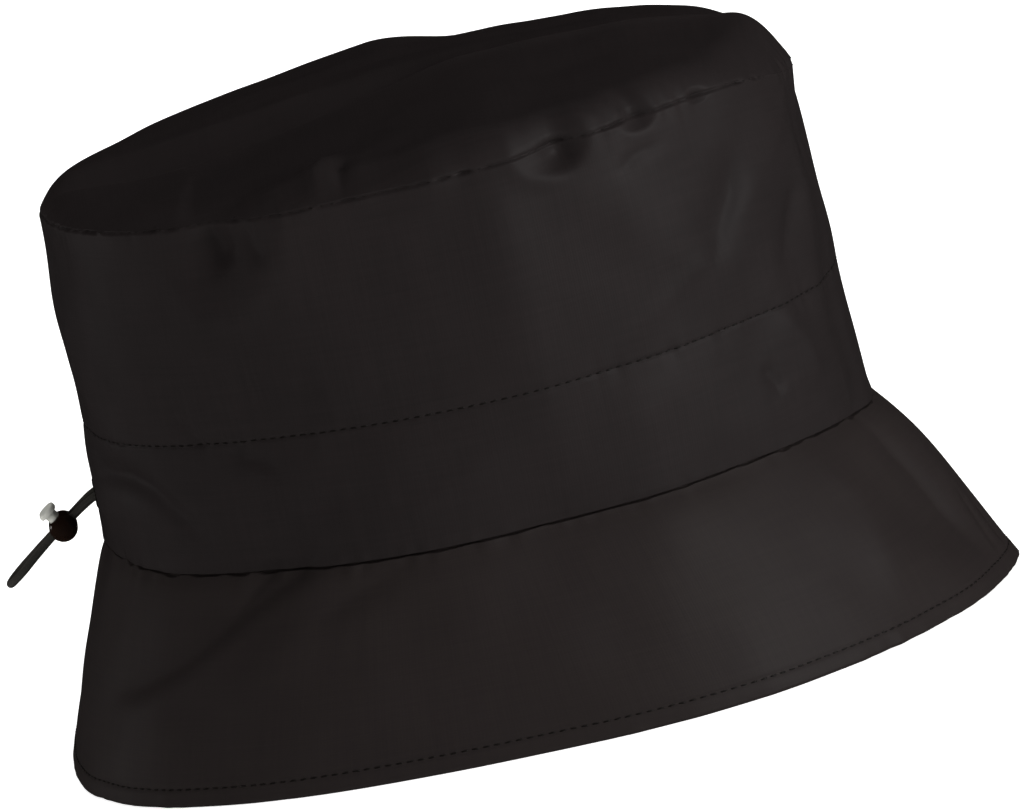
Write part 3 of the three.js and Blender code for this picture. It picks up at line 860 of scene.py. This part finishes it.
def along_line(line, normals, pitch):
    """Evenly spaced points on a closed line, with the direction and the cloth's normal at each."""
    closed = np.concatenate([line, line[:1]])
    lengths = np.concatenate([[0], np.cumsum(np.linalg.norm(np.diff(closed, axis=0), axis=-1))])
    count = round(lengths[-1] / pitch)
    marks = np.arange(count) * lengths[-1] / count
    spread = np.concatenate([normals, normals[:1]])
    at = np.stack([np.interp(marks, lengths, closed[:, k]) for k in range(3)], -1)
    ahead_marks = (marks + LOOK_AHEAD) % lengths[-1]
    ahead = np.stack([np.interp(ahead_marks, lengths, closed[:, k]) for k in range(3)], -1)
    normal = np.stack([np.interp(marks, lengths, spread[:, k]) for k in range(3)], -1)
    return at, ahead - at, normal


def make_stitches(name, line, normals, sink, pitch=STITCH_PITCH, scale=1, crosswise=False):
    """Sets stitches along a line that lies on the cloth, or across the line, sunk a little."""
    at, forward, normal = along_line(line, normals, pitch)
    forward /= np.linalg.norm(forward, axis=-1, keepdims=True)
    across = np.cross(normal, forward)
    across /= np.linalg.norm(across, axis=-1, keepdims=True)
    normal = np.cross(forward, across)
    if crosswise:
        forward, across = across, -forward
    rng = np.random.default_rng(len(at))
    sway = rng.normal(0, STITCH_SWAY, len(at))
    axes = np.stack([forward + across * sway[:, None], across, normal], 1)
    shape = scale * stitch_shape().reshape(-1, 3)
    points = shape @ axes + (at - normal * sink)[:, None, :]
    faces = stitch_faces()
    every = [[v + k * len(shape) for v in face] for k in range(len(at)) for face in faces]
    corners = sum(len(face) for face in every)
    made = mesh_object(name, points.reshape(-1, 3), every, np.zeros((corners, 2)), thread)
    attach(made, "hat")
    print(name, len(at), "stitches")


def wall_line(wall, distance, from_top):
    """A line round a wall at a distance from one of its seams, and the wall's normals on it."""
    row = WALLS[wall]
    drop = np.linalg.norm(sewn_line(row["upper"], ANGLES) - sewn_line(row["lower"], ANGLES), axis=-1)
    share = 1 - distance / drop if from_top else distance / drop
    steps = (-NORMAL_PROBE, 0, NORMAL_PROBE)
    rows = np.stack([wall_point(wall, ANGLES, share + step / drop, fine=False) for step in steps])
    return wall_point(wall, ANGLES, share), grid_normals(rows)[1]


make_stitches("stitches_hem", *wall_line("brim", HEM["height"], from_top=False), sink=0.05)
make_stitches("stitches_band_line", *wall_line("crown_side", FROM_SEAM, from_top=False), sink=0.05)
make_stitches("stitches_top_seam", *wall_line("crown_side", FROM_SEAM, from_top=True), sink=0.08, scale=0.6)

# %% [markdown]
# ## The drawcord
# A thin elastic cord leaves the casing at the back, runs through the lock, turns round in a short loop and
# comes back. It is stiff for its size and short, so it sticks out instead of hanging. A curve with a round
# bevel would be quick, but the braid should show in its outline too, so the tube is made by code: rings
# along the route, each pushed out where a strand of the braid crosses over.

# %% Cord route
CORD_ROUTE = [
    (-102.4, 1.2, 68.6), (-104.6, 1.2, 67.6), (-107.2, 1.15, 65.9), (-110.0, 1.15, 63.9),
    (-113.2, 1.15, 61.7), (-116.2, 1.2, 59.6), (-119.2, 1.6, 57.4), (-122.4, 2.3, 54.9),
    (-125.2, 2.8, 52.7), (-127.5, 2.5, 50.9), (-128.9, 1.4, 49.8), (-129.3, 0, 49.5),
    (-128.9, -1.4, 49.8), (-127.5, -2.5, 50.9), (-125.2, -2.8, 52.6), (-122.4, -2.3, 54.8),
    (-119.2, -1.6, 57.2), (-116.2, -1.2, 59.4), (-113.2, -1.15, 61.5), (-110.0, -1.15, 63.5),
    (-107.2, -1.15, 65.3), (-104.6, -1.2, 66.8), (-102.4, -1.2, 67.7),
]
CORD_DIAMETER = 2.0
CORD_SIDES = 20
CORD_STEP = 0.22
BRAID = {"strands": 8, "pitch": 5.5, "relief": 0.09}
ROUTE_DETAIL = 24


def smooth_route(points, step):
    """Points at even steps along a smooth curve through the route's points."""
    points = np.array(points, float)
    ends = np.concatenate([[2 * points[0] - points[1]], points, [2 * points[-1] - points[-2]]])
    dense = []
    for p0, p1, p2, p3 in zip(ends, ends[1:], ends[2:], ends[3:]):
        for t in np.linspace(0, 1, ROUTE_DETAIL, endpoint=False):
            dense.append(0.5 * (2 * p1 + (p2 - p0) * t + (2 * p0 - 5 * p1 + 4 * p2 - p3) * t ** 2
                                + (3 * p1 - p0 - 3 * p2 + p3) * t ** 3))
    dense = np.array(dense + [points[-1]])
    lengths = np.concatenate([[0], np.cumsum(np.linalg.norm(np.diff(dense, axis=0), axis=-1))])
    marks = np.linspace(0, lengths[-1], round(lengths[-1] / step) + 1)
    return np.stack([np.interp(marks, lengths, dense[:, k]) for k in range(3)], -1), marks


def route_frames(route):
    """Two directions across the route at each point, which turn with it and don't twist."""
    forward = np.gradient(route, axis=0)
    forward /= np.linalg.norm(forward, axis=-1, keepdims=True)
    first = np.cross(forward[0], [0.0, 1.0, 0.0])
    firsts = []
    for direction in forward:
        first = first - direction * (first @ direction)
        first = first / np.linalg.norm(first)
        firsts.append(first)
    firsts = np.array(firsts)
    return firsts, np.cross(forward, firsts)


print("the cord reaches", round(CORD_ROUTE[0][0] - min(point[0] for point in CORD_ROUTE), 1), "mm out")


# %% Cord mesh
def make_cord(material):
    route, marks = smooth_route(CORD_ROUTE, CORD_STEP)
    first, second = route_frames(route)
    around = np.arange(CORD_SIDES) * 2 * math.pi / CORD_SIDES
    turn, along = np.meshgrid(around, marks)
    half = BRAID["strands"] / 2
    cross = np.sin(half * turn + 2 * math.pi * along / BRAID["pitch"] * half)
    cross = cross * np.sin(half * turn - 2 * math.pi * along / BRAID["pitch"] * half)
    radius = CORD_DIAMETER / 2 + BRAID["relief"] * (np.abs(cross) - 0.5)
    reach_first, reach_second = radius * np.cos(turn), radius * np.sin(turn)
    rows = route[:, None] + reach_first[..., None] * first[:, None]
    rows = rows + reach_second[..., None] * second[:, None]
    corner_rows, corner_columns = ring_faces(len(rows), CORD_SIDES, closed=False)
    faces = (corner_rows * CORD_SIDES + corner_columns % CORD_SIDES).tolist()
    last = (len(rows) - 1) * CORD_SIDES
    faces.append(list(range(CORD_SIDES))[::-1])
    faces.append([last + j for j in range(CORD_SIDES)])
    uv = np.stack([corner_columns * (math.pi * CORD_DIAMETER / CORD_SIDES), marks[corner_rows]], -1)
    uv = np.concatenate([uv.reshape(-1, 2), np.zeros((2 * CORD_SIDES, 2))])
    made = mesh_object("braided_cord", rows.reshape(-1, 3), faces, uv, material)
    stand_for(made, "draw_cord", "hat")
    print("cord", round(marks[-1], 1), "mm long")


# %% [markdown]
# The cord's cover is matte polyester yarn, braided over rubber. The relief above gives the large pattern,
# and a fine noise in its colour and its bump gives the fibres, drawn at 0.4 mm.

# %% Cord cover
fibres = {"Scale": 2500, "Detail": 2}
cover = make_yarn("braided_polyester_cover", "#1b1a18", "#383632", 0.8, 0.25, 0.06, fibres, "cloth")

# %% [markdown]
# ## The cord lock
# A cord lock is two mouldings. The body is an oval ball with a slot through it for the two strands and a
# bore from above for the button, and the button has a slot of its own, which a spring holds out of line
# with the body's. Both could be drawn as profiles and lathed, but by hand a cylinder with deeply bevelled
# rims gives the ball, and a cylinder that is pulled apart into a rounded bar gives the button and every
# cutter. Acetal flows well in its mould, so the ball is glossy.

# %% Lock sizes
BALL = {"diameter": 7.4, "width": 9.8, "rim": 3.05, "drop": 0.4, "sides": 48, "segments": 12}
BORE = {"length": 3.4, "width": 7, "bottom": -3.05, "top": 7.4}
LOCK_SLOT = {"width": 4.9, "height": 2.8}
BUTTON_STEM = {"length": 2.8, "width": 6.4, "bottom": -1.9, "top": 5}
BUTTON_HEAD = {"length": 4.8, "width": 7.6, "bottom": 4.6, "top": 6}
HEAD_RIM = {"offset": 0.6, "segments": 5}
BUTTON_TRAVEL = 1
BALL_ROUND = 0.18
BUTTON_ROUND = 0.12
print("the ball is", BALL["diameter"], "by", BALL["width"], "mm")


# %% Bars and bevels
BAR_SIDES = 40
NEARLY = 0.999


def select_only(made):
    bpy.ops.object.select_all(action="DESELECT")
    made.select_set(True)
    bpy.context.view_layer.objects.active = made


def pick(made, wanted):
    """Selects the edges of a mesh whose two ends are both in a wanted place."""
    bpy.ops.object.mode_set(mode="EDIT")
    bpy.ops.mesh.select_all(action="DESELECT")
    bpy.ops.object.mode_set(mode="OBJECT")
    points = [vertex.co for vertex in made.data.vertices]
    for edge in made.data.edges:
        edge.select = all(wanted(points[i]) for i in edge.vertices)
    bpy.ops.object.mode_set(mode="EDIT")


def rounded_bar(length, width, bottom, top):
    """A bar with round ends, upright: length along X and width along Y."""
    bpy.ops.object.select_all(action="DESELECT")
    bpy.ops.mesh.primitive_cylinder_add(
        vertices=BAR_SIDES,
        radius=length / 2 * MM,
        depth=(top - bottom) * MM,
        location=(0, 0, (top + bottom) / 2 * MM),
        rotation=(0, 0, math.pi / BAR_SIDES),
    )
    made = bpy.context.object
    bpy.ops.object.transform_apply(location=True, rotation=True, scale=True)
    for end in (-1, 1):
        pick(made, lambda point: point.y * end > 0)
        bpy.ops.transform.translate(value=(0, end * (width - length) / 2 * MM, 0))
        bpy.ops.object.mode_set(mode="OBJECT")
    return made


def bevel_where(made, wanted, offset, segments):
    pick(made, wanted)
    bpy.ops.mesh.bevel(offset=offset * MM, segments=segments, profile=0.5, affect="EDGES")
    bpy.ops.object.mode_set(mode="OBJECT")


# %% Cutting, rounding and placing
LOCK_CENTRE = (-113.2, 0, 61.6)
LOCK_TILT = -34.9
ROUND_SEGMENTS = 3
SHARP_ANGLE = math.radians(30)


def combine(made, other, operation):
    """Cuts another shape out of a piece, or joins it on, and throws the other one away."""
    select_only(made)
    step = made.modifiers.new("shape", "BOOLEAN")
    step.object = other
    step.operation = operation
    step.solver = "EXACT"
    bpy.ops.object.modifier_apply(modifier=step.name)
    bpy.data.objects.remove(other)


def round_edges(made, width):
    """A small round on every sharp edge, as a mould leaves it."""
    select_only(made)
    step = made.modifiers.new("round", "BEVEL")
    step.width = width * MM
    step.segments = ROUND_SEGMENTS
    step.limit_method = "ANGLE"
    step.angle_limit = SHARP_ANGLE
    bpy.ops.object.modifier_apply(modifier=step.name)
    bpy.ops.object.shade_smooth_by_angle(angle=SHARP_ANGLE)


def place_on_cord(made, name, material, node, body):
    """Turns a lock piece to the cord, and puts that place into its mesh."""
    made.name = made.data.name = name
    made.rotation_euler = (0, math.radians(LOCK_TILT), 0)
    made.location = Vector(LOCK_CENTRE) * MM
    select_only(made)
    bpy.ops.object.transform_apply(location=True, rotation=True, scale=True)
    made.data.materials.clear()
    made.data.materials.append(material)
    stand_for(made, node, body)


# %% [markdown]
# Two finishes for the lock. Polished acetal is almost a mirror at a shallow angle and shows a brown tint
# where light passes a thin edge, and fine flow marks keep its gloss from being perfect. The button is nylon
# from a spark-eroded mould, which leaves a fine matt grain of about 0.05 mm, drawn here at 0.15 mm. Its
# pale grey is a painted highlight: it stands for the bright glint on the top of the lock.

# %% Lock finishes
def moulded_plastic(name, dark, light, roughness, grain, bump):
    """A plastic with faint colour clouds and a grain of a given size and height, in millimetres."""
    made, tree, shader = new_material(name)
    place = add_node(tree, "ShaderNodeTexCoord").outputs["Object"]
    cloud = add_node(tree, "ShaderNodeTexNoise", {"Vector": place, "Scale": 400, "Detail": 2}).outputs[0]
    finest = {"Vector": place, "Scale": 1 / (grain * MM), "Detail": 2}
    fine = add_node(tree, "ShaderNodeTexNoise", finest).outputs[0]
    colours = {0: cloud, 6: srgb(dark), 7: srgb(light)}
    colour = add_node(tree, "ShaderNodeMix", colours, data_type="RGBA")
    spread = {0: cloud, 1: 0.3, 2: 0.7, 3: roughness, 4: roughness * 1.5}
    gloss = add_node(tree, "ShaderNodeMapRange", spread)
    relief = add_node(tree, "ShaderNodeBump", {"Strength": 0.5, "Distance": bump * MM, "Height": fine})
    tree.links.new(colour.outputs[2], shader.inputs["Base Color"])
    tree.links.new(gloss.outputs[0], shader.inputs["Roughness"])
    tree.links.new(relief.outputs[0], shader.inputs["Normal"])
    shader.inputs["IOR"].default_value = 1.48
    return made


acetal = moulded_plastic("polished_black_acetal", "#0d0806", "#1c110c", 0.11, 0.8, 0.004)
# The button's pale grey is a painted highlight, the bright glint on top of the lock.
pale_nylon_painted_highlight = moulded_plastic("eroded_nylon_painted_highlight", "#a9a9a2", "#c6c6bf", 0.3, 0.15, 0.01)
print("made", acetal.name, "and", pale_nylon_painted_highlight.name)


# %% Lock body
def make_lock_body():
    half = BALL["width"] / 2 * MM
    bpy.ops.object.select_all(action="DESELECT")
    bpy.ops.mesh.primitive_cylinder_add(
        vertices=BALL["sides"],
        radius=BALL["diameter"] / 2 * MM,
        depth=2 * half,
        location=(0, 0, -BALL["drop"] * MM),
        rotation=(math.pi / 2, 0, 0),
    )
    ball = bpy.context.object
    bpy.ops.object.transform_apply(location=True, rotation=True, scale=True)
    for end in (-1, 1):
        bevel_where(ball, lambda point: point.y * end > half * NEARLY, BALL["rim"], BALL["segments"])
    combine(ball, rounded_bar(**BORE), "DIFFERENCE")
    slot = rounded_bar(LOCK_SLOT["height"], LOCK_SLOT["width"], -BALL["diameter"], BALL["diameter"])
    slot.rotation_euler = (0, math.pi / 2, 0)
    combine(ball, slot, "DIFFERENCE")
    round_edges(ball, BALL_ROUND)
    place_on_cord(ball, "lock_ball", acetal, "cord_lock", "hat")
    return ball


lock_ball = make_lock_body()


# %% Lock button and cord
def make_lock_button():
    button = rounded_bar(**BUTTON_STEM)
    head = rounded_bar(**BUTTON_HEAD)
    top = BUTTON_HEAD["top"] * MM
    bevel_where(head, lambda point: point.z > top * NEARLY, **HEAD_RIM)
    combine(button, head, "UNION")
    bpy.ops.object.select_all(action="DESELECT")
    height = LOCK_SLOT["height"] + BUTTON_TRAVEL
    size = Vector((2 * BUTTON_STEM["length"], LOCK_SLOT["width"], height)) * MM
    bpy.ops.mesh.primitive_cube_add(size=1, scale=size, location=(0, 0, BUTTON_TRAVEL / 2 * MM))
    combine(button, bpy.context.object, "DIFFERENCE")
    round_edges(button, BUTTON_ROUND)
    place_on_cord(button, "lock_press_button", pale_nylon_painted_highlight, "lock_button", "button")
    return button


press_button = make_lock_button()
make_cord(cover)

# %% [markdown]
# ## The exit hole
# The cord comes out of the casing through a small worked buttonhole at the back of the band. The casing's
# inner layer closes the hole from behind, so it is cut only 1.2 mm deep into the wall. A Boolean cuts it
# cleanly out of the finished wall, and short stitches bind its edge, set across it and close together.

# %% Exit hole
EXIT_HOLE = {"height": 67.9, "length": 4.8, "width": 6, "depth": 1.2, "outside": 4}
BINDING = {"pitch": 0.62, "outside": 0.45, "sink": 0.02, "points": 60}


def band_point(y, height):
    """The band's outer face at the back, at a width and a height, and its normal there."""
    angle = math.pi + np.arcsin(-y / BRIM_SEAM["side"])
    low, high = sewn_line(BRIM_SEAM, angle)[..., 2], sewn_line(BAND_LINE, angle)[..., 2]
    share = (height - low) / (high - low)
    return wall_point("draw_band", angle, share), outward(angle)


cutter = rounded_bar(EXIT_HOLE["length"], EXIT_HOLE["width"], -EXIT_HOLE["outside"], EXIT_HOLE["depth"])
cutter.rotation_euler = (0, math.pi / 2, 0)
middle_of_hole, _ = band_point(np.zeros(1), np.full(1, float(EXIT_HOLE["height"])))
cutter.location = Vector(middle_of_hole[0]) * MM
combine(draw_band, cutter, "DIFFERENCE")
turn = np.arange(BINDING["points"]) * 2 * math.pi / BINDING["points"]
reach = EXIT_HOLE["length"] / 2 + BINDING["outside"]
straight = (EXIT_HOLE["width"] - EXIT_HOLE["length"]) / 2
hole_y = reach * np.cos(turn) + straight * np.sign(np.cos(turn))
hole_line, hole_normals = band_point(hole_y, EXIT_HOLE["height"] + reach * np.sin(turn))
make_stitches(
    "stitches_exit_hole",
    hole_line,
    hole_normals,
    sink=BINDING["sink"],
    pitch=BINDING["pitch"],
    crosswise=True,
)
print("band has", len(draw_band.data.polygons), "faces after the cut")

# %% [markdown]
# ## Floor and light
# A dark matt hat needs a bright surrounding to show its outline, and one large soft light to show its
# folds. The floor glows a little, like a light table, so that it stays pale and the cloth near it gets some
# light from below. The main softbox stands low and to the right of the camera, so the upright cloth is lit
# and the top stays dark. A weaker one fills from the left, a very small one glints on the lock, and two
# from behind show the top. A bright studio that is mirrored makes the edges of black cloth shine, so only
# the main light and the small one are mirrored in it.

# %% Floor
bpy.ops.object.select_all(action="DESELECT")
bpy.ops.mesh.primitive_plane_add(size=60, location=(0, 0, 0))
floor = bpy.context.object
floor.name = "floor"
paper, tree, shader = new_material("white_studio_paper")
shader.inputs["Base Color"].default_value = srgb("#f2f2f0")
shader.inputs["Roughness"].default_value = 0.9
shader.inputs["Specular IOR Level"].default_value = 0.1
shader.inputs["Emission Color"].default_value = (1, 1, 1, 1)
shader.inputs["Emission Strength"].default_value = 0.75
floor.data.materials.append(paper)
floor.visible_glossy = False
print("made", floor.name)


# %% Lights
def softbox(name, azimuth, elevation, distance, size, power, mirrored=True):
    """A square light that faces the hat, at an azimuth from the camera's side round to the hat's front."""
    turn, lift = math.radians(azimuth), math.radians(elevation)
    towards = Vector((math.sin(turn) * math.cos(lift), -math.cos(turn) * math.cos(lift), math.sin(lift)))
    light = bpy.data.objects.new(name, bpy.data.lights.new(name, "AREA"))
    light.data.size, light.data.energy = size, power
    light.visible_glossy = mirrored
    light.location = AIM + towards * distance
    light.rotation_mode = "QUATERNION"
    light.rotation_quaternion = towards.to_track_quat("Z", "Y")
    bpy.context.scene.collection.objects.link(light)


softbox("main_softbox", azimuth=58, elevation=16, distance=2.0, size=1.0, power=49)
softbox("left_fill", azimuth=-62, elevation=15, distance=2.2, size=1.4, power=22, mirrored=False)
softbox("left_edge", azimuth=-112, elevation=4, distance=1.2, size=0.2, power=0.8)
softbox("back_left", azimuth=-155, elevation=50, distance=2.4, size=1.4, power=19, mirrored=False)
softbox("back_right", azimuth=155, elevation=50, distance=2.4, size=1.4, power=19, mirrored=False)

# %% World
world = bpy.data.worlds.new("studio")
world.use_nodes = True
bpy.context.scene.world = world
sky = world.node_tree.nodes["Background"]
sky.inputs["Color"].default_value = (1, 1, 1, 1)
sky.inputs["Strength"].default_value = 0.08
world.cycles_visibility.glossy = False
bpy.context.scene.view_settings.view_transform = "Standard"
print("the world's strength is", round(sky.inputs["Strength"].default_value, 2))
